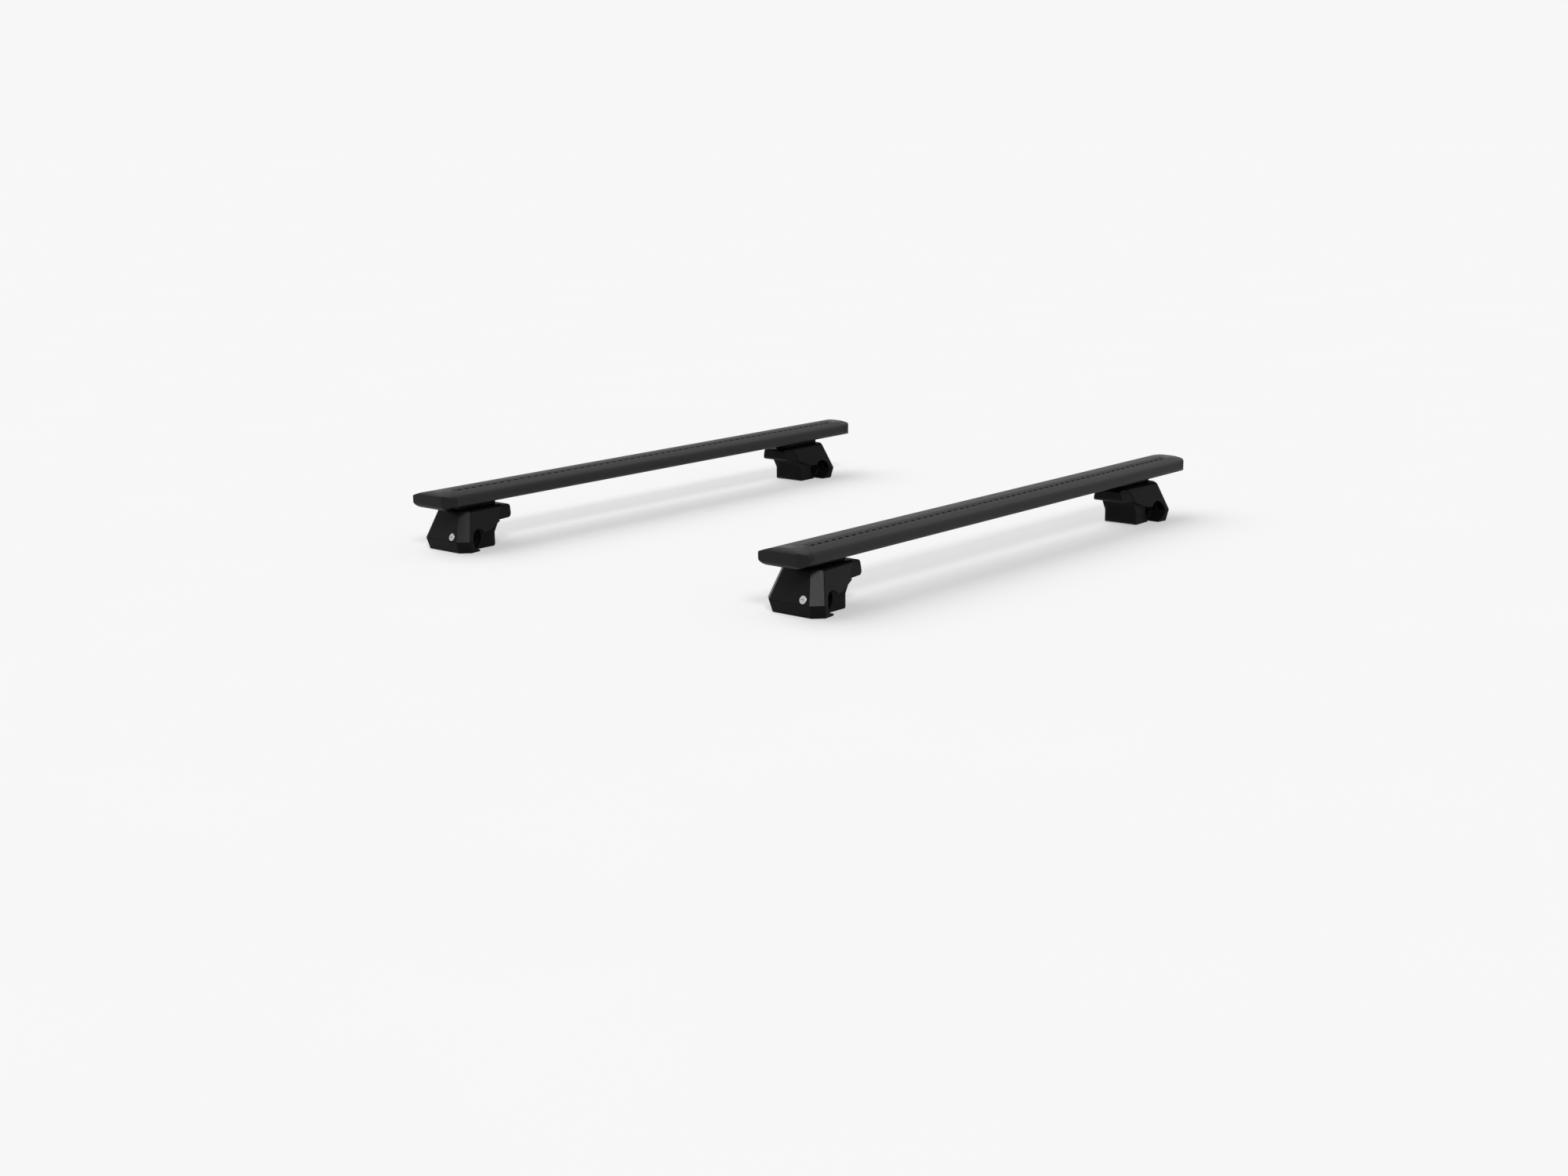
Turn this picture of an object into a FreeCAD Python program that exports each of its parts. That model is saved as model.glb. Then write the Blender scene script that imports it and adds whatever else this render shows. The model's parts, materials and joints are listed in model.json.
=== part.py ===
"""Pair of roof cross bars on four clamp feet. Millimetres, +Z up, bars along X, noses toward -Y.

The origin lies on the ground between the four feet, whose middles are under the bars' channels.
"""
import FreeCAD
import Part
import math
import os

V = FreeCAD.Vector
X_AXIS, Y_AXIS, Z_AXIS = V(1, 0, 0), V(0, 1, 0), V(0, 0, 1)

# Bars
bar_length = 1080.0        # tip to tip, end caps included
bar_spacing = 780.0        # between the two bars
bar_width = 90.0
bar_height = 31.0
bar_centre_z = 93.0
nose_radius = 10.7
tail_radius = 5.5
crown_from_nose = 38.52    # highest line of the top, from the nose's tip
tail_run = 18.0            # from the tail's tip to the flat underside
nose_z = -0.6              # tips above the middle of the section's height
tail_z = 0.8
skin = 1.9
core_wall = 2.2            # round each slot
lip = 3.2                  # thickness over each slot
slot_depth = 6.5           # wide part of each slot
slot_half = 8.82           # half width of the wide part
mouth_half = 6.0           # half width of a slot's mouth
strip_from_nose = 28.98    # centre of the top slot and strip
channel_from_tail = 36.0   # centre of the underside channel

# Strip
strip_end = 38.0           # from the bar's tip
strip_gap = 0.1
notch_pitch = 16.0
notch_length = 8.0
notch_width = 3.2          # into the strip from its edge toward the nose
notch_depth = 2.0
first_notch = 8.0          # from the strip's end to the first notch

# End caps
cap_length = 25.0
cap_nose_corner = 21.5     # plan rounding at the nose and at the tail
cap_tail_corner = 5.0
cap_bullnose = 11.7         # rounding seen from the side
plug_length = 18.0
plug_gap = 0.3
tongue_gap = 0.3

# Gripped tube and clamp
tube_radius = 15.5
foot_inset_right, foot_inset_left = 73.0, 91.0   # from the bar's tips to the tube axes
tube_z = 21.0
pad = 2.2
pad_half = 26.0
seat_radius = tube_radius + pad
claw_pad_from, claw_pad_to = 62.0, 262.0   # degrees, 0 toward the bar's middle
jaw_pad_from, jaw_pad_to = -60.0, 46.0

# Outer shape of a foot
waist_z = 20.0             # widest level, the cover's lower edge
waist_u = 43.0             # outer face from the tube axis at the waist
waist_half = 55.0
lean = 0.40                # outer face, per mm of height
side_lean = 0.28
side_taper = 0.138         # narrowing toward the bar's middle
facet_leg = 15.0
corner_round = 6.0         # beside each corner facet
tuck = 0.32                # outer face below the waist
side_tuck = 0.1
foot_top = 67.0
nose_u = 90.0              # inner end at the shelf
nose_lean = 0.15
nose_round = 9.0
nose_top_round = 5.0
shelf_z = 44.5
neck_z = 73.8
neck_u0, neck_u1 = -16.0, 66.0
neck_half = 18.0
saddle_gap = 0.1
block_half = 24.0          # under the cover's ears
block_drop = 15.0          # below the shelf, into the claw
claw_half = 36.0           # between the cover's sides as it slides off
claw_top = 39.0
nose_inset = 0.6
nose_gap = 0.5             # from the cover's inner edge
lip_tip_u = 0.0
rest_gap = 0.3             # running gap between foot and cover or jaw

# Cover
wall = 3.0
cover_top = foot_top + rest_gap + wall
cover_round = 8.0          # top rim and corners
ear_arc = 17.0             # round the gripped tube
ear_floor_z, ear_heel_u = 30.5, 27.0   # level edge beside the arc and its end
ear_corner = (58.0, 42.0)  # inner edge, from below: (u, z)
ear_bend = (61.0, 54.0)
ear_tip = (72.0, 65.0)
top_edge_u = -18.0         # inner edge of the cover's top
window_z = 47.0            # lower edge of the opening round the block

# Jaw
jaw_u0, jaw_u1 = 11.5, 58.0   # seat side and shoulder
jaw_leg_u = 54.0              # inner face of the leg
jaw_knee_z, jaw_shoulder_z = 33.0, 40.0
jaw_half = 32.5
jaw_travel = 16.0
jaw_round = 9.0            # outer edges of the leg
jaw_tip_u = 8.0
tongue_u0, tongue_u1 = 31.0, 51.0
tongue_half = 12.0
tongue_top = 60.0
nut_u = 41.0
nut_radius = 6.5

# Clamp screw
screw_z = 52.0
screw_radius = 4.0
screw_tip = 64.0
head_radius = 6.5
head_height = 8.0
head_seat_u = -15.5
hex_across = 6.0
hex_depth = 4.5
washer_radius = 7.2
washer_height = 1.6
run_gap = 0.05             # radial running fit
bore_gap = 0.3

# Bar bolts
bolt_us = (-5.0, 15.0)
bolt_radius = 3.0
bolt_head_radius = 5.0
bolt_head_height = 6.0
bolt_seat_z = 64.0
bolt_hex_across = 5.0
bolt_hex_depth = 3.0
plate_u0, plate_u1 = -16.0, 50.0
plate_gap = 0.1            # over the slot's lips
plate_side_gap = 0.3
plate_height = 4.8

# Lock
lock_above = 7.6           # centre above the waist
lock_v = -24.0
lock_radius = 5.5
lock_step = 5.0            # depth of the wide part of the barrel
lock_depth = 10.0          # whole barrel, behind the cover's face
core_radius = 4.0          # narrow part of the barrel
lock_proud = 0.6
lock_lip = 0.9             # flange on the lock's face
lock_lip_height = 0.5
lip_sink = 0.15            # flange's underside below the cover's face
lip_bed = 0.2              # its bed in the cover
boss_radius = 7.2
boss_depth = 6.0           # from the cover's face
key_width, key_length, key_depth = 1.4, 6.0, 3.0
cam_thick = 1.6
cam_length = 13.0
cam_half = 3.5
keeper_wall = 2.0          # what the turned tongue hooks behind
keeper_gap = 0.6

# Construction
overlap = 1.0              # run of one solid into the next before they are fused
near = 0.01                # tolerance when edges are picked
fan_steps = 8
big = 400.0

crown_y = crown_from_nose - bar_width / 2
strip_y = strip_from_nose - bar_width / 2
channel_y = bar_width / 2 - channel_from_tail
flat_half = channel_from_tail - tail_run   # of the flat underside, about the channel
lock_z = waist_z + lock_above
bar_bottom_z = bar_centre_z - bar_height / 2
os.makedirs("parts", exist_ok=True)


def box(x0, x1, y0, y1, z0, z1):
    return Part.makeBox(x1 - x0, y1 - y0, z1 - z0, V(x0, y0, z0))


def rod(radius, start, axis, length):
    return Part.makeCylinder(radius, length, start, axis)


def trimmed(shape, point, normal):
    """The shape without what lies beyond a plane."""
    block = Part.makeBox(big, big, big, V(-big / 2, -big / 2, 0))
    block.Placement = FreeCAD.Placement(point, FreeCAD.Rotation(Z_AXIS, normal))
    return shape.cut(block)


def prism_y(points, half):
    """A side profile of (u, z) points, extruded to both sides."""
    wire = Part.makePolygon([V(u, -half, z) for u, z in points + points[:1]])
    return Part.Face(wire).extrude(V(0, 2 * half, 0))


def hexagon(across, depth, at, axis):
    """A hexagonal prism that starts at a point and runs along an axis."""
    r = across / math.sqrt(3)
    corners = [V(r * math.cos(math.radians(60 * i)), r * math.sin(math.radians(60 * i)), 0)
               for i in range(7)]
    prism = Part.Face(Part.makePolygon(corners)).extrude(V(0, 0, depth))
    prism.Placement = FreeCAD.Placement(at, FreeCAD.Rotation(Z_AXIS, axis))
    return prism


def blend(tip, flat, rise, small):
    """Two tangent arcs from a tip at height 0 to a level line: (tip end, join, level end, mids)."""
    run = abs(flat - tip)
    side = 1 if flat > tip else -1
    large = ((run - small) ** 2 + rise ** 2 - small ** 2) / (2 * (rise - small))
    c1 = V(0, tip + side * small, 0)
    c2 = V(0, flat, rise - large)
    way = (c1 - c2).normalize()
    join = c1 + way * small
    turn = math.atan2(way.z, -side * way.y)
    mid1 = c1 + V(0, -side * math.cos(turn / 2), math.sin(turn / 2)) * small
    half = (turn + math.pi / 2) / 2
    mid2 = c2 + V(0, -side * math.cos(half), math.sin(half)) * large
    return V(0, tip, 0), mid1, join, mid2, V(0, flat, rise)


def section_wire():
    """The bar's outline in the YZ plane, centred on the bar."""
    rise = bar_height / 2
    flats = (channel_y - flat_half, channel_y + flat_half)
    edges = [Part.makeLine(V(0, flats[0], -rise), V(0, flats[1], -rise))]
    for tip, tip_z, radius, flat in ((-bar_width / 2, nose_z, nose_radius, flats[0]),
                                     (bar_width / 2, tail_z, tail_radius, flats[1])):
        for level_y, sign in ((crown_y, 1), (flat, -1)):
            points = [V(0, p.y, tip_z + sign * p.z)
                      for p in blend(tip, level_y, rise - sign * tip_z, radius)]
            edges.append(Part.Arc(*points[:3]).toShape())
            edges.append(Part.Arc(*points[2:]).toShape())
    return Part.Wire(Part.__sortEdges__(edges))


def slot(y, z_mouth, inward, length):
    """A T slot along X whose mouth is at z_mouth and which runs inward, up or down."""
    reach = lip + slot_depth
    low, high = sorted((z_mouth - inward * lip, z_mouth + inward * reach))
    mouth = box(-length / 2, length / 2, y - mouth_half, y + mouth_half, low, high)
    low, high = sorted((z_mouth + inward * lip, z_mouth + inward * reach))
    return mouth.fuse(box(-length / 2, length / 2, y - slot_half, y + slot_half, low, high))


def hollows(inset, length):
    """The bar's cavity round its two slots, shrunk by an inset."""
    # A very short arc of the outline can leave a stray loop beside the cavity's outline.
    loops = section_wire().makeOffset2D(-(skin + inset)).Wires
    inner = max(loops, key=lambda loop: loop.Length)
    block = Part.Face(inner).extrude(V(length, 0, 0))
    block.translate(V(-length / 2, 0, 0))
    half = slot_half + core_wall + inset
    level = bar_height / 2 - lip - slot_depth - core_wall - inset
    block = block.cut(box(-length, length, strip_y - half, strip_y + half, level, big))
    return block.cut(box(-length, length, channel_y - half, channel_y + half, -big, -level))


def make_bar():
    body = Part.Face(section_wire()).extrude(V(bar_length - 2 * cap_length, 0, 0))
    body.translate(V(-(bar_length / 2 - cap_length), 0, 0))
    half = bar_height / 2
    body = body.cut(hollows(0, bar_length))
    body = body.cut(slot(strip_y, half, -1, bar_length))
    return body.cut(slot(channel_y, -half, 1, bar_length)).removeSplitter()


def strip_room(gap, length):
    """The strip's plan form: a bar of the mouth's width with round ends."""
    half = length / 2 - mouth_half
    radius = mouth_half + gap
    room = box(-half, half, strip_y - radius, strip_y + radius, -big, big)
    for x in (-half, half):
        room = room.fuse(rod(radius, V(x, strip_y, -big), Z_AXIS, 2 * big))
    return room


def make_strip():
    length = bar_length - 2 * strip_end
    half = bar_height / 2
    crown = Part.Face(section_wire()).extrude(V(length, 0, 0))
    crown.translate(V(-length / 2, 0, 0))
    body = slot(strip_y, half, -1, length).common(crown)
    head = body.common(box(-big * 2, big * 2, -big, big, half - lip, big))
    root = body.common(box(mouth_half - length / 2, length / 2 - mouth_half, -big, big, -big,
                           half - lip))
    body = root.fuse(head.common(strip_room(-strip_gap, length)))
    notches = []
    edge_y = strip_y - mouth_half
    x = -length / 2 + first_notch
    while x + notch_length < length / 2 - mouth_half:
        notches.append(box(x, x + notch_length, edge_y - overlap, edge_y + notch_width,
                           half - notch_depth, big))
        x += notch_pitch
    return body.cut(Part.makeCompound(notches)).removeSplitter()


def make_cap():
    """The cap at the +X end of a bar, in the bar's own frame."""
    x0, x1 = bar_length / 2 - cap_length, bar_length / 2
    half_w, half_h = bar_width / 2, bar_height / 2
    body = Part.Face(section_wire()).extrude(V(cap_length, 0, 0))
    body.translate(V(x0, 0, 0))
    plan = box(0, x1, -half_w, half_w, -half_h, half_h)
    for radius, y in ((cap_nose_corner, -half_w), (cap_tail_corner, half_w)):
        corner = [e for e in plan.Edges if e.BoundBox.ZLength > half_h and e.BoundBox.XMin > x1 - near
                  and abs(e.CenterOfMass.y - y) < near]
        plan = plan.makeFillet(radius, corner)
    side = box(0, x1, -half_w, half_w, -half_h, half_h)
    ends = [e for e in side.Edges if e.BoundBox.YLength > half_w and e.BoundBox.XMin > x1 - near]
    side = side.makeFillet(cap_bullnose, ends)
    body = body.common(plan).common(side)
    plug = hollows(plug_gap, bar_length).common(
        box(x0 - plug_length, x0 + overlap, -big, big, -big, big))
    tongue = slot(strip_y, half_h, -1, bar_length).common(
        box(x1 - strip_end - mouth_half, x0 + overlap, -big, big, half_h - lip, big))
    tongue = tongue.cut(strip_room(tongue_gap, bar_length - 2 * strip_end))
    tongue = tongue.cut(box(0, x1 - strip_end - mouth_half + overlap, -big, big, -big, big))
    crown = Part.Face(section_wire()).extrude(V(bar_length, 0, 0))
    return body.fuse(plug).fuse(tongue.common(crown)).removeSplitter()


def envelope(inset, z0, z1, u_end):
    """The foot's outer form between two levels, shrunk by an inset; the waist is its widest level."""
    body = box(-2 * waist_u, u_end, -2 * waist_half, 2 * waist_half, z0, z1)
    for out_slope, side_slope in ((lean, side_lean), (-tuck, -side_tuck)):
        if (out_slope > 0 and z1 <= waist_z) or (out_slope < 0 and z0 >= waist_z):
            continue
        planes = [(V(-waist_u, 0, waist_z), V(-1, 0, out_slope))]
        for sign in (1, -1):
            planes.append((V(-waist_u + facet_leg, sign * waist_half, waist_z),
                           V(side_taper, sign, side_slope)))
            planes.append((V(-waist_u + facet_leg, sign * waist_half, waist_z),
                           V(-1, sign, out_slope + side_slope)))
        for point, normal in planes:
            normal.normalize()
            body = trimmed(body, point - normal * inset, normal)
    return body


def rounded(body, radius, top):
    """Rounds the upright corners and, for a cover, the top rim, but nothing at the inner end."""
    box_now = body.BoundBox
    edges = [e for e in body.Edges if e.BoundBox.XMax < box_now.XMax - near
             and e.BoundBox.ZLength > near]
    if top:
        edges += [e for e in body.Edges if e.BoundBox.ZMin > box_now.ZMax - near
                  and e.BoundBox.XMin < box_now.XMax - near]
    return body.makeFillet(radius, edges)


def lock_axis():
    """The lock's face centre on the cover and its outward direction."""
    normal = V(-1, 0, lean).normalize()
    face = V(-waist_u + lean * lock_above, lock_v, lock_z)
    return face, normal


def make_cover():
    end_u = ear_tip[0] + wall
    outer = rounded(envelope(0, waist_z, cover_top, end_u), cover_round, True)
    inner = rounded(envelope(wall, waist_z, cover_top - wall, end_u + wall), cover_round - wall, True)
    side = [(-2 * waist_u, waist_z), (0, waist_z), (0, ear_floor_z), (ear_heel_u, ear_floor_z),
            ear_corner, ear_bend, ear_tip, (ear_tip[0], cover_top), (-2 * waist_u, cover_top)]
    shell = outer.cut(inner).common(prism_y(side, big))
    shell = shell.cut(rod(ear_arc, V(0, -big, tube_z), Y_AXIS, 2 * big))
    shell = shell.cut(box(top_edge_u, big, -block_half - rest_gap, block_half + rest_gap,
                          window_z, big))
    face, normal = lock_axis()
    boss = rod(boss_radius, face - normal * boss_depth, normal, boss_depth - wall / 2)
    shell = shell.fuse(boss.common(box(-big, big, -big, big, waist_z, big)))
    bore = rod(lock_radius + run_gap, face - normal * lock_step, normal, big)
    core = rod(core_radius + bore_gap, face - normal * big / 2, normal, big)
    bed = rod(lock_radius + lock_lip + bore_gap, face - normal * lip_bed, normal, big)
    return shell.cut(bore).cut(core).cut(bed).removeSplitter()


def make_lock():
    face, normal = lock_axis()
    wide = lock_step - rest_gap
    body = rod(lock_radius, face - normal * wide, normal, wide + lock_proud)
    core = rod(core_radius, face - normal * lock_depth, normal, lock_depth)
    flange = rod(lock_radius + lock_lip, face - normal * lip_sink, normal, lock_lip_height)
    key = box(-key_length / 2, key_length / 2, -key_width / 2, key_width / 2, -key_depth, key_depth)
    key.Placement = FreeCAD.Placement(face + normal * lock_proud, FreeCAD.Rotation(Z_AXIS, normal))
    return body.fuse(core).fuse(flange).cut(key).removeSplitter()


def make_cam():
    """The tongue behind the lock, pointing along +Y when it is clear of its keeper."""
    face, normal = lock_axis()
    cam = box(-cam_half, cam_half, 0, cam_length, -cam_thick, 0)
    cam = cam.fuse(rod(cam_half, V(0, 0, -cam_thick), Z_AXIS, cam_thick)).removeSplitter()
    cam.Placement = FreeCAD.Placement(face - normal * lock_depth, FreeCAD.Rotation(
        Y_AXIS, math.degrees(math.atan2(normal.x, normal.z))))
    return cam


def cut_lock_room(body):
    """Room for the barrel to slide in, and for the tongue to turn up behind its keeper."""
    face, normal = lock_axis()
    into, drop = -normal.x, -normal.z
    floor = waist_z - rest_gap
    barrel_u = face.x + into * boss_depth - drop * boss_radius + keeper_gap
    core_top = lock_z + (core_radius + drop * (barrel_u - face.x)) / into
    pass_z = max(core_top, lock_z + drop * lock_depth + into * cam_half) + keeper_gap
    turned_u = face.x + into * lock_depth - drop * (pass_z - lock_z - drop * lock_depth) / into
    tip_u = face.x + into * (lock_depth + cam_thick) - drop * cam_length + keeper_gap
    tip_z = lock_z + drop * lock_depth + into * cam_length + keeper_gap
    keeper_u = min(barrel_u + keeper_wall, turned_u - rest_gap)
    v0, v1 = lock_v - boss_radius - keeper_gap, lock_v + cam_length + keeper_gap
    barrel_room = box(-big, barrel_u, v0, v1, floor, lock_z + boss_radius + keeper_gap)
    way_in = box(-big, tip_u, v0, v1, floor, pass_z)
    turning = box(keeper_u, tip_u, v0, v1, floor, tip_z)
    return body.cut(barrel_room).cut(way_in).cut(turning)


def make_foot():
    low = rounded(envelope(0, 0, waist_z - rest_gap, lip_tip_u), corner_round, False)
    inset = wall + rest_gap
    room = rounded(envelope(inset, waist_z, foot_top, ear_tip[0] + wall + inset),
                   cover_round - inset, True)
    claw = room.common(box(-big, lip_tip_u, -claw_half, claw_half, waist_z, claw_top))
    root = envelope(inset, waist_z - overlap, waist_z, lip_tip_u)
    claw = claw.fuse(root.common(box(-big, big, -claw_half, claw_half, 0, big)))
    block = room.common(box(-big, big, -block_half, block_half, shelf_z - block_drop, foot_top))
    edge = [(u + nose_gap, z) for u, z in (ear_corner, ear_bend, ear_tip)]
    side = edge + [(edge[-1][0], foot_top), (2 * nose_u, foot_top), (2 * nose_u, ear_corner[1])]
    nose = envelope(nose_inset, shelf_z, foot_top, 2 * nose_u).common(prism_y(side, big))
    jaw_room = box(jaw_u0 - rest_gap, big, -big, big, -overlap, shelf_z)
    end, end_normal = V(nose_u, 0, shelf_z), V(1, 0, -nose_lean).normalize()
    top = trimmed(block.fuse(nose).cut(jaw_room), end, end_normal).removeSplitter()
    for z, radius in ((shelf_z, nose_round), (foot_top, nose_top_round)):
        rim = [e for e in top.Edges if abs(e.BoundBox.ZMin - z) < near and e.BoundBox.ZLength < near
               and e.BoundBox.XMin > nose_u - near]
        top = top.makeFillet(radius, rim)
    neck = box(neck_u0, neck_u1, -neck_half, neck_half, foot_top - overlap, neck_z)
    body = low.fuse(claw).fuse(top).fuse(neck).cut(jaw_room)
    body = body.cut(rod(seat_radius, V(0, -big, tube_z), Y_AXIS, 2 * big))
    body = body.cut(box(lip_tip_u, big, -big, big, -overlap, tube_z))
    body = body.cut(box(tongue_u0 - rest_gap, tongue_u1 + jaw_travel + rest_gap,
                        -tongue_half - rest_gap, tongue_half + rest_gap,
                        shelf_z - overlap, tongue_top + rest_gap))
    body = body.cut(rod(screw_radius + bore_gap, V(-big / 2, 0, screw_z), X_AXIS, big / 2 + nut_u))
    body = body.cut(rod(washer_radius + bore_gap, V(-big / 2, 0, screw_z), X_AXIS,
                        big / 2 + head_seat_u + washer_height))
    for u in bolt_us:
        body = body.cut(rod(bolt_head_radius + bore_gap, V(u, 0, tube_z), Z_AXIS,
                            bolt_seat_z - tube_z))
        body = body.cut(rod(bolt_radius + bore_gap, V(u, 0, tube_z), Z_AXIS, big))
    return cut_lock_room(body).removeSplitter()


def arc_pad(a0, a1, half):
    """A liner round the gripped tube between two angles."""
    ring = rod(seat_radius, V(0, -half, tube_z), Y_AXIS, 2 * half)
    ring = ring.cut(rod(tube_radius, V(0, -big, tube_z), Y_AXIS, 2 * big))
    steps = [a0 + (a1 - a0) * i / fan_steps for i in range(fan_steps + 1)]
    reach = 2 * seat_radius
    fan = [(0, tube_z)] + [(reach * math.cos(math.radians(a)),
                            tube_z + reach * math.sin(math.radians(a))) for a in steps]
    return ring.common(prism_y(fan, big))


def make_jaw():
    top = shelf_z - rest_gap
    body = prism_y([(jaw_u0, 0), (jaw_leg_u, 0), (jaw_leg_u, jaw_knee_z), (jaw_u1, jaw_shoulder_z),
                    (jaw_u1, top), (jaw_u0, top)], jaw_half)
    leg = [e for e in body.Edges if e.BoundBox.XMin > jaw_leg_u - near
           and e.BoundBox.ZMax < jaw_knee_z + near and e.BoundBox.ZMin < near]
    body = body.makeFillet(jaw_round, leg)
    body = body.fuse(box(jaw_tip_u, jaw_u0 + overlap, -jaw_half, jaw_half, 0, tube_z - tube_radius))
    body = body.cut(rod(seat_radius, V(0, -big, tube_z), Y_AXIS, 2 * big))
    body = body.fuse(box(tongue_u0, tongue_u1, -tongue_half, tongue_half, top - overlap, tongue_top))
    body = body.cut(rod(nut_radius, V(nut_u, -big, screw_z), Y_AXIS, big + tongue_half))
    body = body.cut(rod(screw_radius + bore_gap, V(0, 0, screw_z), X_AXIS, big))
    return body.removeSplitter()


def make_jaw_nut():
    nut = rod(nut_radius, V(nut_u, -tongue_half, screw_z), Y_AXIS, 2 * tongue_half)
    return nut.cut(rod(screw_radius + run_gap, V(0, 0, screw_z), X_AXIS, big))


def make_screw():
    start = head_seat_u - head_height
    shank = rod(screw_radius, V(head_seat_u, 0, screw_z), X_AXIS, screw_tip - head_seat_u)
    head = rod(head_radius, V(start, 0, screw_z), X_AXIS, head_height)
    return head.fuse(shank).cut(hexagon(hex_across, hex_depth, V(start, 0, screw_z), X_AXIS))


def make_washer():
    ring = rod(washer_radius, V(head_seat_u, 0, screw_z), X_AXIS, washer_height)
    return ring.cut(rod(screw_radius + bore_gap, V(-big / 2, 0, screw_z), X_AXIS, big))


def make_saddle():
    body = box(neck_u0, neck_u1, -neck_half, neck_half, neck_z, bar_bottom_z - saddle_gap)
    holes = [rod(bolt_radius + bore_gap, V(u, 0, 0), Z_AXIS, big) for u in bolt_us]
    return body.cut(Part.makeCompound(holes))


def make_slot_nut():
    z0 = bar_bottom_z + lip + plate_gap
    half = slot_half - plate_side_gap
    body = box(plate_u0, plate_u1, -half, half, z0, z0 + plate_height)
    holes = [rod(bolt_radius, V(u, 0, 0), Z_AXIS, big) for u in bolt_us]
    return body.cut(Part.makeCompound(holes))


def make_bolts():
    top = bar_bottom_z + lip + plate_gap + plate_height
    bolts = []
    for u in bolt_us:
        low = bolt_seat_z - bolt_head_height
        head = rod(bolt_head_radius, V(u, 0, low), Z_AXIS, bolt_head_height)
        shank = rod(bolt_radius, V(u, 0, bolt_seat_z), Z_AXIS, top - bolt_seat_z)
        socket = hexagon(bolt_hex_across, bolt_hex_depth, V(u, 0, low), Z_AXIS)
        bolts.append(head.fuse(shank).cut(socket).removeSplitter())
    return Part.makeCompound(bolts)


def placed(shape, x, y):
    """A foot's piece in the part's frame; the foot on the +X side is turned half round."""
    out = shape.copy()
    turn = 180 if x > 0 else 0
    out.Placement = FreeCAD.Placement(V(x, y, 0), FreeCAD.Rotation(Z_AXIS, turn)) \
        .multiply(out.Placement)
    return out


bar, strip, cap = make_bar(), make_strip(), make_cap()
foot_pieces = {
    "foot": make_foot(), "saddle": make_saddle(), "slot_nut": make_slot_nut(),
    "slot_bolts": make_bolts(), "claw_pad": arc_pad(claw_pad_from, claw_pad_to, pad_half),
    "jaw": make_jaw(), "jaw_pad": arc_pad(jaw_pad_from, jaw_pad_to, pad_half),
    "jaw_nut": make_jaw_nut(), "screw": make_screw(), "washer": make_washer(),
    "cover": make_cover(), "lock": make_lock(), "lock_cam": make_cam(),
}
for end, sign in (("front", -1), ("rear", 1)):
    at = V(0, sign * bar_spacing / 2 - channel_y, bar_centre_z)
    right_cap = cap.mirror(V(0, 0, 0), X_AXIS)
    for name, shape in (("bar", bar), ("strip", strip), ("left_cap", cap), ("right_cap", right_cap)):
        piece = shape.copy()
        piece.translate(at)
        piece.exportStep(f"parts/{end}_{name}.step")
    for side, x in (("right", foot_inset_right - bar_length / 2),
                    ("left", bar_length / 2 - foot_inset_left)):
        for name, shape in foot_pieces.items():
            placed(shape, x, at.y + channel_y).exportStep(f"parts/{end}_{side}_{name}.step")
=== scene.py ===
# %% [markdown]
# # A pair of roof cross bars, dressed in Blender
# Two long black bars with a wing section stand on four clamp feet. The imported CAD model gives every
# rigid form and place. This script keeps those solids as the frame, softens their edges, models the
# pieces that need more than a plain solid, and gives every surface a finish made of nodes.

# %% Load the frame
import json
import math

import bpy
from mathutils import Matrix, Vector


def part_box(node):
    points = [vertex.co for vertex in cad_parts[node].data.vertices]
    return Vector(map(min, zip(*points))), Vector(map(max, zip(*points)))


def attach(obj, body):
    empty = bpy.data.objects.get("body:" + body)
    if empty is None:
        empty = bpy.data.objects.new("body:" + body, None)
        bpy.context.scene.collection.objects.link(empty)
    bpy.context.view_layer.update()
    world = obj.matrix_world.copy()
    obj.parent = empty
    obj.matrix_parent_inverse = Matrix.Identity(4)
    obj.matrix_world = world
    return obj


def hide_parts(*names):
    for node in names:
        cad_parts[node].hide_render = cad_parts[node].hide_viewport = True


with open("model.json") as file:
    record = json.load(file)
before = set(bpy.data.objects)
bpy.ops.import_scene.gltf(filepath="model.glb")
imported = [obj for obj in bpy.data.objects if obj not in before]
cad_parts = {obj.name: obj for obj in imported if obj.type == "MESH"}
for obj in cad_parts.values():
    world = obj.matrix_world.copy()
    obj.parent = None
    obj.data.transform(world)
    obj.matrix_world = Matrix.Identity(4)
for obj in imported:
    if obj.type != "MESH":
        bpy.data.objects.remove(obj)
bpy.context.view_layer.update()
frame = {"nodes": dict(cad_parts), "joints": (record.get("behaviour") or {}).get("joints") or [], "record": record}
nodes = frame["nodes"]
record = frame["record"]
joints = {joint["name"]: joint for joint in frame["joints"]}
carriers = {node: body for body, group in record["behaviour"]["bodies"].items() for node in group}
slots = {part["node"]: part["material_slot"] for part in record["subparts"]}
bars = ("front", "rear")
feet = [f"{bar}_{side}" for bar in bars for side in ("right", "left")]
print("nodes:", len(nodes), "feet:", feet)

# %% [markdown]
# ## The camera
# The photograph looks down a little, from well to one side of the nearer bar's end. The place, the two
# angles, the small roll and the focal length below were found by fitting the bars' edges.
# A camera matrix takes the three directions as its columns, so a roll needs no constraint or target.

# %% Set the camera
IMAGE_WIDTH = 2000
FOCAL_PIXELS = 2690.0
CENTRE_DROP = 3.5                      # the lens's centre lies this many pixels under the middle
CAMERA_PLACE = Vector((-2.7980, -2.3575, 0.7168))
AZIMUTH = math.radians(-49.167)
ELEVATION = math.radians(12.665)
ROLL = math.radians(-0.734)

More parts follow.
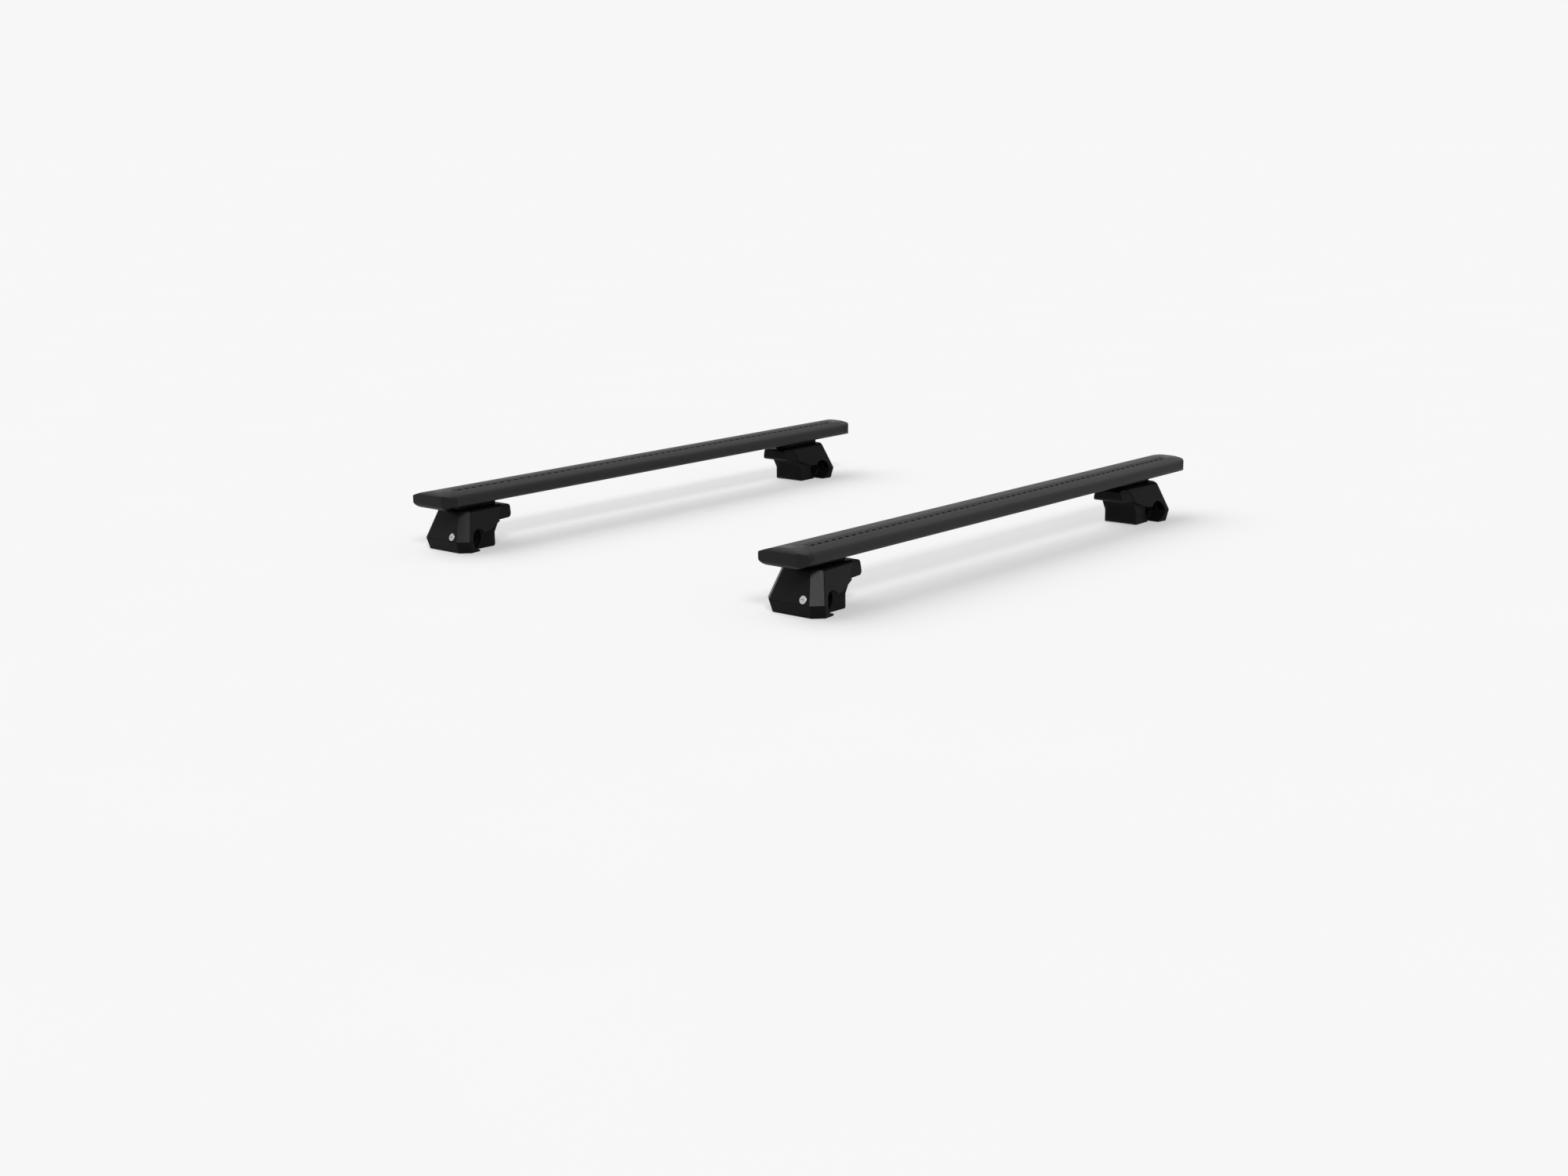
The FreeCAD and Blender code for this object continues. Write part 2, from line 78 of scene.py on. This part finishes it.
back = Vector((math.sin(AZIMUTH) * math.cos(ELEVATION),
               -math.cos(AZIMUTH) * math.cos(ELEVATION), math.sin(ELEVATION)))
level_right = Vector((math.cos(AZIMUTH), math.sin(AZIMUTH), 0.0))
level_up = back.cross(level_right)
right = math.cos(ROLL) * level_right + math.sin(ROLL) * level_up
up = math.cos(ROLL) * level_up - math.sin(ROLL) * level_right

camera_data = bpy.data.cameras.new("camera")
camera_data.sensor_width = 36.0
camera_data.lens = FOCAL_PIXELS / IMAGE_WIDTH * camera_data.sensor_width
camera_data.shift_y = CENTRE_DROP / IMAGE_WIDTH
camera = bpy.data.objects.new("camera", camera_data)
camera.matrix_world = Matrix.Translation(CAMERA_PLACE) @ Matrix((right, up, back)).transposed().to_4x4()
bpy.context.collection.objects.link(camera)
bpy.context.scene.camera = camera
bpy.context.scene.view_settings.view_transform = "Standard"
print("lens:", round(camera_data.lens, 2), "mm")

# %% [markdown]
# ## Shader maths as plain expressions
# Node trees get long when every Math node is added by hand. A small class wraps a socket, so that
# `1 - mask` or `grain * 0.2 + 0.4` adds the nodes, and one method adds any other kind of node.


# %% A socket that can be used in expressions
class Wire:
    """One output socket of a node tree, with the operators that the finishes use."""

    def __init__(self, tree, socket=None):
        self.tree = tree
        self.socket = socket

    def add(self, kind, settings=None, output=0, **values):
        """Adds a node, sets its settings, then links or sets its sockets by name or number."""
        node = self.tree.nodes.new(kind)
        for name, value in (settings or {}).items():
            setattr(node, name, value)
        for name, value in values.items():
            key = int(name[1:]) if name[1:].isdigit() else name.replace("_", " ")
            if isinstance(value, Wire):
                self.tree.links.new(value.socket, node.inputs[key])
            else:
                node.inputs[key].default_value = value
        return Wire(self.tree, node.outputs[output])

    def maths(self, operation, first, second):
        return self.add("ShaderNodeMath", {"operation": operation}, i0=first, i1=second)

    def __add__(self, other):
        return self.maths("ADD", self, other)

    def __rsub__(self, other):
        return self.maths("SUBTRACT", other, self)

    def __mul__(self, other):
        return self.maths("MULTIPLY", self, other)

    __radd__ = __add__
    __rmul__ = __mul__


def grey(value):
    return (value, value, value, 1.0)


# %% [markdown]
# ## One recipe for all the finishes
# Each finish has a base colour that drifts a little between two tones, a roughness that varies with
# a fine grain, and a bump. What is the same all over, such as the metallic value, is set on the
# shader itself. Every pattern lies on Object coordinates, so it stays on the piece as it moves.


# %% The recipe
class Finish:
    """A material whose shader is filled in step by step."""

    def __init__(self, name):
        self.material = bpy.data.materials.new(name)
        self.material.use_nodes = True
        self.tree = self.material.node_tree
        self.shader = self.tree.nodes["Principled BSDF"]
        self.start = Wire(self.tree)
        self.place = self.start.add("ShaderNodeTexCoord", output=3)

    def noise(self, scale, detail=3.0, stretch=(1.0, 1.0, 1.0)):
        """A noise from 0 to 1 on the piece's own coordinates, stretched along an axis if asked."""
        spot = self.start.add("ShaderNodeMapping", Vector=self.place, Scale=stretch)
        return self.start.add("ShaderNodeTexNoise", Vector=spot, Scale=scale, Detail=detail)

    def cells(self, scale):
        """Small rounded cells like those of a spark-eroded mould, 0 in the middle of each."""
        return self.start.add("ShaderNodeTexVoronoi", {"feature": "SMOOTH_F1"}, Vector=self.place,
                              Scale=scale, Smoothness=0.6)

    def tones(self, factor, dark, light):
        mix = self.start.add("ShaderNodeMix", {"data_type": "RGBA"}, 2, i0=factor, i6=dark, i7=light)
        self.feed("Base Color", mix)

    def bump(self, height, strength, distance):
        self.feed("Normal", self.start.add("ShaderNodeBump", Height=height, Strength=strength,
                                           Distance=distance))

    def feed(self, name, wire):
        self.tree.links.new(wire.socket, self.shader.inputs[name])

    def fix(self, **values):
        for name, value in values.items():
            self.shader.inputs[name.replace("_", " ")].default_value = value


# %% [markdown]
# ## The coated bar
# The bars are aluminium extrusions with a satin black coat. An extrusion keeps faint lines along its
# length from the die, and a sprayed coat has a fine orange peel over them. A noise stretched along X
# gives the lines, and a second even noise gives the peel.


# %% Coated bar
def coated_bar():
    finish = Finish("coated bar")
    drawn = finish.noise(900.0, 2.0, (0.004, 1.0, 1.0))
    peel = finish.noise(420.0, 2.0)
    cloud = finish.noise(9.0)
    finish.tones(cloud, grey(0.0160), grey(0.0200))
    finish.feed("Roughness", 0.46 + 0.08 * drawn + 0.06 * cloud)
    finish.bump(0.5 * drawn + peel, 0.10, 0.0002)
    finish.fix(Specular_IOR_Level=0.13)
    return finish.material


# %% [markdown]
# ## Grained plastic and coated castings
# Caps and covers come out of a mould whose wall was eroded by sparks, which leaves a fine even grain,
# and the coat on the cast feet has much the same one. Rounded cells give the grain, and a noise makes
# some places smoother, as handling does. One function serves all three, because they differ only in
# tone, roughness, gloss and size of grain.


# %% Grained surfaces
def moulded(name, dark, light, rough, gloss, grain_scale):
    finish = Finish(name)
    grain = finish.cells(grain_scale)
    handled = finish.noise(22.0, 4.0)
    finish.tones(handled, grey(dark), grey(light))
    finish.feed("Roughness", rough - 0.06 * handled + 0.08 * grain)
    finish.bump(grain, 0.15, 0.0001)
    finish.fix(Specular_IOR_Level=gloss)
    return finish.material


# %% [markdown]
# ## Rubber
# The strips and liners are extruded or moulded rubber. It is duller than plastic, and a little pale
# dust sits in its pores. A coarse noise mixes in patches of dust, and a fine one gives the pores.


# %% Rubber
def rubber(name, dark, light, gloss=0.15):
    finish = Finish(name)
    pores = finish.noise(1400.0, 2.0)
    dust = finish.noise(30.0, 5.0)
    finish.tones(dust, grey(dark), grey(light))
    finish.feed("Roughness", 0.66 + 0.12 * pores + 0.06 * dust)
    finish.bump(pores, 0.15, 0.0003)
    finish.fix(Specular_IOR_Level=gloss)
    return finish.material


# %% [markdown]
# ## Metals
# The fasteners are zinc plated, so their colour drifts a little to yellow, and the locks have a bright
# satin face. Both are fully metallic, with a roughness that follows a fine grain.


# %% Metals
def metal(name, dark, light, rough, scale):
    finish = Finish(name)
    grain = finish.noise(scale)
    cloud = finish.noise(60.0)
    finish.tones(cloud, dark, light)
    finish.feed("Roughness", rough + 0.14 * grain)
    finish.bump(grain, 0.05, 0.0002)
    finish.fix(Metallic=1.0)
    return finish.material


# %% [markdown]
# ## One finish for each slot
# The record gives every node a material slot, so one finish is made for each slot, and every piece that
# stands for a node takes its slot's finish. Two tones come first, then what else the recipe asks for.

# %% Make the finishes
finishes = {
    "bar": coated_bar(),
    "cap": moulded("cap plastic", 0.0115, 0.0145, 0.36, 0.09, 1500.0),
    "strip": rubber("strip rubber", 0.0150, 0.0200, 0.20),
    "foot": moulded("foot coating", 0.0040, 0.0060, 0.42, 0.06, 1100.0),
    "cover": moulded("cover plastic", 0.0080, 0.0105, 0.26, 0.055, 1300.0),
    "pad": rubber("liner rubber", 0.0050, 0.0080),
    "saddle": rubber("saddle rubber", 0.0050, 0.0080),
    "steel": metal("plated steel", (0.50, 0.49, 0.46, 1), (0.60, 0.60, 0.59, 1), 0.28, 300.0),
    "lock": metal("lock face", (0.42, 0.42, 0.43, 1), (0.50, 0.50, 0.50, 1), 0.28, 700.0),
}
print("finishes:", sorted(finishes))

# %% [markdown]
# ## Soft edges on the CAD solids
# No real edge is a knife's: a moulded or extruded one has a radius of a few tenths of a millimetre, and
# that radius is what catches the light. A CAD mesh is loose triangles, so a copy is merged first and its
# flat faces are joined again. Then a bevel modifier rounds every edge over a given angle, and weighted
# normals keep the broad faces flat beside the narrow rounds.


# %% Working on one piece
def only(piece):
    """Makes one object the only selected and active one."""
    bpy.ops.object.select_all(action="DESELECT")
    piece.select_set(True)
    bpy.context.view_layer.objects.active = piece


def apply_modifier(piece, kind, **settings):
    only(piece)
    bpy.ops.object.modifier_add(type=kind)
    modifier = piece.modifiers[-1]
    for name, value in settings.items():
        setattr(modifier, name, value)
    bpy.ops.object.modifier_apply(modifier=modifier.name)


def smooth(piece, angle):
    only(piece)
    bpy.ops.object.shade_smooth_by_angle(angle=math.radians(angle))
    apply_modifier(piece, "WEIGHTED_NORMAL", keep_sharp=True)


# %% A softened copy
MERGE_GAP = 2e-6                       # corners nearer than this become one
FLAT_ANGLE = 0.4                       # degrees: faces that turn by less become one
SHARP_ANGLE = 32.0                     # degrees: edges that turn by more are rounded
ROUND_SEGMENTS = 2


def merged(node):
    """A copy of a CAD node with its triangles merged and its flat faces whole again."""
    piece = bpy.data.objects.new(f"{node}_soft", nodes[node].data.copy())
    bpy.context.collection.objects.link(piece)
    only(piece)
    bpy.ops.object.mode_set(mode="EDIT")
    bpy.ops.mesh.select_all(action="SELECT")
    bpy.ops.mesh.remove_doubles(threshold=MERGE_GAP)
    bpy.ops.mesh.dissolve_limited(angle_limit=math.radians(FLAT_ANGLE))
    bpy.ops.object.mode_set(mode="OBJECT")
    return piece


def soften(piece, radius):
    """Rounds a merged copy's sharp edges."""
    apply_modifier(piece, "BEVEL", width=radius, segments=ROUND_SEGMENTS, limit_method="ANGLE",
                   angle_limit=math.radians(SHARP_ANGLE), use_clamp_overlap=False)
    smooth(piece, SHARP_ANGLE)


# %% [markdown]
# ## Where each copy goes
# The four feet are the same piece four times, and those on one side are turned half round. Each foot's
# clamp screw is a joint whose place the frame gives, so the step from the first foot to another is the
# step between their screws. A copied mesh is moved itself, and its object stays at the origin.


# %% Placing copies
def foot_step(foot):
    """The matrix that takes a piece of the first foot to another foot."""
    here, there = (Vector(joints[f"{name}_screw_turn"]["pos_m"]) for name in (feet[0], foot))
    turn = Matrix.Rotation(math.pi if foot.endswith("left") else 0.0, 4, "Z")
    return Matrix.Translation(there) @ turn @ Matrix.Translation(-here)


def stand_for(piece, node):
    """The piece takes a CAD node's place, finish and body."""
    piece.name = f"{node}_soft"
    piece.data.materials.clear()
    piece.data.materials.append(finishes[slots[node]])
    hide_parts(node)
    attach(piece, carriers[node])


def copied(piece, step):
    twin = bpy.data.objects.new(piece.name, piece.data.copy())
    twin.data.transform(step)
    bpy.context.collection.objects.link(twin)
    return twin


def on_all_feet(piece, name):
    """Copies a piece of the first foot to the other three, and lets all four stand for their nodes."""
    twins = [copied(piece, foot_step(foot)) for foot in feet[1:]]
    for foot, twin in zip(feet, [piece] + twins):
        stand_for(twin, f"{foot}_{name}")


# %% [markdown]
# ## Bars, strips and caps
# The second bar is the first one moved back, so each piece is softened once and copied. The strip's
# notches are small, so their edges get a smaller radius than the bar's slots, and a cap's open edge
# gets a larger one: that is the fine dark seam that shows round each end of a bar.

# %% Soften the bars
BAR_EDGES = {"bar": 0.0003, "strip": 0.0002, "left_cap": 0.0004, "right_cap": 0.0004}
bar_step = Matrix.Translation(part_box("rear_bar")[0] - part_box("front_bar")[0])
bar_pieces = {}
for name, radius in BAR_EDGES.items():
    piece = merged(f"front_{name}")
    soften(piece, radius)
    bar_pieces[name] = piece, copied(piece, bar_step)
    for bar, twin in zip(bars, bar_pieces[name]):
        stand_for(twin, f"{bar}_{name}")
    print(name, "faces:", len(piece.data.polygons))

# %% [markdown]
# ## Notches with painted shade
# A row of short notches runs along the strip's edge toward the nose. Their walls and floors get a near-black
# rubber colour, painted shade that stands in for the shade down in them, so they show as a line of dark dashes.
# They are found by place and direction: they lie in a narrow band along the strip, and the strip's crown is the
# only other face there that looks up.

# %% Find the notch faces
NOTCH_BAND = (-0.0056, -0.0024)        # across the strip, from its middle toward the nose
NOTCH_FLOOR = 0.0020                   # under the bar's crown
CROWN_MARGIN, FLOOR_MARGIN = 0.0003, 0.0001
CROWN_UP = 0.9                         # the least upward part of the crown's normals
strip_low, strip_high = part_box("front_strip")
middle = (strip_low.y + strip_high.y) / 2
crown_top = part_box("front_bar")[1].z
# painted shade: a near-black rubber, darker than the strip's own, that the notch faces take in place of the shade
# in them
notch_painted_shade = rubber("notch painted shade", 0.0012, 0.0020, 0.05)
for strip, step in zip(bar_pieces["strip"], (0.0, bar_step.translation.y)):
    strip.data.materials.append(notch_painted_shade)
    found = 0
    for face in strip.data.polygons:
        across = face.center.y - step - middle
        depth = crown_top - face.center.z
        on_crown = face.normal.z > CROWN_UP and depth < NOTCH_FLOOR - CROWN_MARGIN
        in_notch = NOTCH_BAND[0] < across < NOTCH_BAND[1] and depth < NOTCH_FLOOR + FLOOR_MARGIN
        if in_notch and not on_crown:
            face.material_index = 1
            found += 1
    print(strip.name, "notch faces:", found)

# %% [markdown]
# ## The feet's solid pieces
# A foot is a strong casting with a claw, a sliding jaw, a cover that slides off, rubber liners and a
# few steel pieces. Castings and covers get about half a millimetre on their edges, rubber and steel less.
# The corner beside the lock has a broad flat facet that ends in an arch at the rounded rim, as a cut made
# after the rounding would. A bisect does just that: it cuts the corner off along a plane and fills the cut.


# %% Cut the corner facet
FACET_CUT = 0.0010                     # behind the solid's own facet, into the rounds beside it
SAME_WAY = 0.99                        # the least cosine between a facet and the direction given for it
FACETS = {"cover": (-0.637, -0.637, 0.433), "foot": (-0.678, -0.678, -0.285)}


def cut_facet(piece, direction):
    """Broadens the facet that looks in a direction, by a cut parallel to it."""
    corner = [face for face in piece.data.polygons if face.normal.dot(Vector(direction)) > SAME_WAY]
    facet = max(corner, key=lambda face: face.area)
    spot, out = facet.center - FACET_CUT * facet.normal, facet.normal.copy()
    only(piece)
    bpy.ops.object.mode_set(mode="EDIT")
    bpy.ops.mesh.select_all(action="SELECT")
    bpy.ops.mesh.bisect(plane_co=spot, plane_no=out, use_fill=True, clear_outer=True)
    bpy.ops.object.mode_set(mode="OBJECT")


# %% Soften the feet
FOOT_EDGES = {"foot": 0.0005, "cover": 0.0004, "jaw": 0.0006, "saddle": 0.0004, "claw_pad": 0.0003,
              "jaw_pad": 0.0003, "slot_nut": 0.0004, "slot_bolts": 0.0003, "jaw_nut": 0.0004,
              "washer": 0.0002, "lock_cam": 0.0003}
for name, radius in FOOT_EDGES.items():
    piece = merged(f"{feet[0]}_{name}")
    if name in FACETS:
        cut_facet(piece, FACETS[name])
    soften(piece, radius)
    on_all_feet(piece, name)
    print(name, "faces:", len(piece.data.polygons))

# %% [markdown]
# ## The lock
# A turned barrel sits in the cover, with a flange on the cover's face and a slot for the key. A lathe
# makes it from one profile, and so does this: a circle is extruded ring by ring, and each new ring is
# scaled to its radius. The key's slot is then cut with a box whose ends are rounded.


# %% Turning a profile
def turned(name, profile, sides):
    """A closed solid of rings: (radius, height) from the bottom ring to the top one, about Z."""
    bpy.ops.object.select_all(action="DESELECT")
    radius, height = profile[0]
    bpy.ops.mesh.primitive_circle_add(vertices=sides, radius=radius, fill_type="NGON",
                                      location=(0, 0, height))
    piece = bpy.context.object
    piece.name = name
    bpy.ops.object.mode_set(mode="EDIT")
    bpy.ops.mesh.select_all(action="SELECT")
    for next_radius, next_height in profile[1:]:
        bpy.ops.mesh.extrude_region_move(
            TRANSFORM_OT_translate={"value": (0, 0, next_height - height)})
        factor = next_radius / radius
        bpy.ops.transform.resize(value=(factor, factor, 1), center_override=(0, 0, next_height))
        radius, height = next_radius, next_height
    bpy.ops.mesh.select_all(action="SELECT")
    bpy.ops.mesh.normals_make_consistent(inside=False)
    bpy.ops.object.mode_set(mode="OBJECT")
    return piece


def cut(piece, tool):
    """Takes the tool's form out of a piece, then removes the tool."""
    apply_modifier(piece, "BOOLEAN", operation="DIFFERENCE", object=tool, solver="EXACT")
    bpy.data.objects.remove(tool)


def stood_at(piece, place, direction):
    """Moves a piece that was made about Z to a place, its Z along a direction, all in its mesh."""
    only(piece)
    bpy.ops.object.transform_apply(location=True, rotation=True, scale=True)
    turn = Vector(direction).to_track_quat("Z", "Y").to_matrix().to_4x4()
    piece.data.transform(Matrix.Translation(Vector(place)) @ turn)
    return piece


# %% Turn the lock
LOCK_SIDES = 64
LOCK_PROFILE = [(0.0040, -0.0100), (0.0040, -0.0047), (0.0055, -0.0047), (0.0055, -0.00015),
                (0.0064, -0.00015), (0.0064, 0.0002), (0.0062, 0.00035), (0.0055, 0.00035),
                (0.0055, 0.00042), (0.0053, 0.0006), (0.0046, 0.0006), (0.0045, 0.0004),
                (0.0043, 0.0004), (0.0042, 0.0006)]
KEY_SLOT = (0.0060, 0.0014, 0.0060)    # length, width and, half above the face, twice the depth
KEY_ROUND, KEY_SEGMENTS = 0.0005, 4
TURNED_ANGLE = 30.0                    # degrees: a turned piece is smooth over edges that turn by less
lock = turned("lock_barrel", LOCK_PROFILE, LOCK_SIDES)
bpy.ops.object.select_all(action="DESELECT")
bpy.ops.mesh.primitive_cube_add(size=1.0, location=(0, 0, LOCK_PROFILE[-1][1]))
key = bpy.context.object
key.scale = KEY_SLOT
bpy.ops.object.transform_apply(location=True, rotation=True, scale=True)
apply_modifier(key, "BEVEL", width=KEY_ROUND, segments=KEY_SEGMENTS, limit_method="NONE",
               use_clamp_overlap=True)
cut(lock, key)
turn_joint = joints[f"{feet[0]}_lock_turn"]
stood_at(lock, turn_joint["pos_m"], -Vector(turn_joint["axis"]))
smooth(lock, TURNED_ANGLE)
on_all_feet(lock, "lock")
print("lock faces:", len(lock.data.polygons))

# %% [markdown]
# ## The clamp screw
# The screw that pulls the jaw is an M8 with a socket head. Its pitch is what the coupling of screw and
# jaw in the frame says. The shank is turned down to the thread's root, and the thread is a triangle that
# a screw modifier winds round it.

# %% Turn the screw and cut its socket
THREAD_RADIUS, THREAD_DEPTH, PITCH = 0.0040, 0.0006, 0.00125
HEAD_RADIUS, HEAD_HEIGHT = 0.0065, 0.0080
SOCKET_ACROSS, SOCKET_DEPTH = 0.0060, 0.0045
PLAIN_SHANK, RUN_OUT = 0.030, 0.001    # under the head, and from there down to the thread's root
SCREW_SIDES, SCREW_EDGE = 48, 0.0004
root_radius = THREAD_RADIUS - THREAD_DEPTH
run_end = HEAD_HEIGHT + PLAIN_SHANK + RUN_OUT
screw_low, screw_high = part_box(f"{feet[0]}_screw")
screw_length = screw_high.x - screw_low.x
screw = turned("screw_body", [
    (HEAD_RADIUS - SCREW_EDGE, 0.0), (HEAD_RADIUS, SCREW_EDGE),
    (HEAD_RADIUS, HEAD_HEIGHT - SCREW_EDGE / 2), (HEAD_RADIUS - SCREW_EDGE / 2, HEAD_HEIGHT),
    (THREAD_RADIUS, HEAD_HEIGHT), (THREAD_RADIUS, run_end - RUN_OUT), (root_radius, run_end),
    (root_radius, screw_length - 2 * SCREW_EDGE), (root_radius - SCREW_EDGE, screw_length)], SCREW_SIDES)
bpy.ops.object.select_all(action="DESELECT")
bpy.ops.mesh.primitive_cylinder_add(vertices=6, radius=SOCKET_ACROSS / math.sqrt(3),
                                    depth=2 * SOCKET_DEPTH, location=(0, 0, 0))
socket = bpy.context.object
apply_modifier(socket, "BEVEL", width=SCREW_EDGE / 2, segments=ROUND_SEGMENTS, limit_method="ANGLE")
cut(screw, socket)
print("screw length:", round(screw_length * 1000, 1), "mm")

# %% Wind the thread
THREAD_GAP = 0.0005                    # from the run-out to the thread's first turn
FLANK, WIND_STEPS = 0.46, 32           # a flank's share of the pitch, and steps in each turn
thread_start = run_end + THREAD_GAP
turns = int((screw_length - thread_start - 3 * SCREW_EDGE) / PITCH)
bpy.ops.object.select_all(action="DESELECT")
bpy.ops.mesh.primitive_circle_add(vertices=3, radius=THREAD_DEPTH, fill_type="NGON", location=(0, 0, 0),
                                  rotation=(math.pi / 2, 0, 0))
thread = bpy.context.object
bpy.ops.object.transform_apply(location=True, rotation=True, scale=True)
sunk = root_radius - SCREW_EDGE / 4    # the thread's foot lies a little inside the shank
corners = ((sunk, FLANK * PITCH), (THREAD_RADIUS, 0.0), (sunk, -FLANK * PITCH))
for vertex, (out, along) in zip(thread.data.vertices, corners):
    vertex.co = (out, 0.0, thread_start + PITCH / 2 + along)
apply_modifier(thread, "SCREW", axis="Z", angle=2 * math.pi, screw_offset=PITCH, iterations=turns - 1,
               steps=WIND_STEPS, render_steps=WIND_STEPS, use_normal_calculate=True)
only(thread)
bpy.ops.object.mode_set(mode="EDIT")
bpy.ops.mesh.select_all(action="SELECT")
bpy.ops.mesh.normals_make_consistent(inside=False)
bpy.ops.object.mode_set(mode="OBJECT")
only(screw)
thread.select_set(True)
bpy.ops.object.join()
stood_at(screw, (screw_low.x, (screw_low.y + screw_high.y) / 2, (screw_low.z + screw_high.z) / 2),
         (1, 0, 0))
smooth(screw, TURNED_ANGLE)
on_all_feet(screw, "screw")
print("thread turns:", turns, "screw faces:", len(screw.data.polygons))

# %% [markdown]
# ## Stage and light
# The part stands on a plain pale floor before a white backdrop, under soft light. Two broad suns light
# floor and part alike at any distance: one from high behind the part, and one over the camera's shoulder,
# which the corner facets of the feet turn back to the lens. A sun's angle is how soft it is.


# %% Lamps
def soft_sun(name, toward, angle, strength):
    """A broad light that comes from a direction, with no falloff."""
    data = bpy.data.lights.new(name, "SUN")
    data.angle = math.radians(angle)
    data.energy = strength
    lamp = bpy.data.objects.new(name, data)
    lamp.rotation_euler = Vector(toward).to_track_quat("Z", "Y").to_euler()
    bpy.context.collection.objects.link(lamp)


soft_sun("shoulder", (-0.49, -0.61, 0.62), 14.0, 1.3)
soft_sun("above", (-0.15, 0.50, 0.75), 60.0, 1.7)
print("lamps:", [light.name for light in bpy.data.lights])

# %% [markdown]
# ## Floor and backdrop
# A pale backdrop can be made with more light or with a brighter colour. More light would wash out the
# black part, so the floor and the world show the camera, and any reflection, a near white of their own.
# The floor mixes that white with lit paper, and the paper's share keeps the part's soft shadow.


# %% What the camera and reflections see
def shown(wire):
    """1 for a ray of the camera, a reflection or a transmission, and 0 for light that bounces."""
    rays = wire.add("ShaderNodeLightPath").socket.node.outputs
    camera_ray, glossy, passing = (
        Wire(wire.tree, rays[name]) for name in ("Is Camera Ray", "Is Glossy Ray", "Is Transmission Ray"))
    return camera_ray + glossy + passing


# %% Floor
FLOOR_SIZE = 80.0
FLOOR_WHITE, OWN_SHARE = 1.0, 0.32
bpy.ops.object.select_all(action="DESELECT")
bpy.ops.mesh.primitive_plane_add(size=FLOOR_SIZE, location=(0, 0, 0))
floor = bpy.context.object
floor.name = "floor"
paper = Finish("floor paper")
paper.tones(paper.noise(3.0), grey(0.89), grey(0.91))
paper.fix(Roughness=0.9, Specular_IOR_Level=0.0)
white = paper.start.add("ShaderNodeEmission", Color=grey(1.0), Strength=FLOOR_WHITE)
lit = Wire(paper.tree, paper.shader.outputs[0])
surface = paper.start.add("ShaderNodeMixShader", i0=OWN_SHARE * shown(paper.start), i1=lit, i2=white)
paper.tree.links.new(surface.socket, paper.tree.nodes["Material Output"].inputs["Surface"])
floor.data.materials.append(paper.material)
print("floor:", FLOOR_SIZE, "m square")

# %% World
BACKDROP, FILL = 0.93, 0.30
world = bpy.data.worlds.new("studio")
world.use_nodes = True
strength = FILL + (BACKDROP - FILL) * shown(Wire(world.node_tree))
background = world.node_tree.nodes["Background"]
background.inputs["Color"].default_value = grey(1.0)
world.node_tree.links.new(strength.socket, background.inputs["Strength"])
bpy.context.scene.world = world
print("world:", world.name, "backdrop", BACKDROP, "fill", FILL)
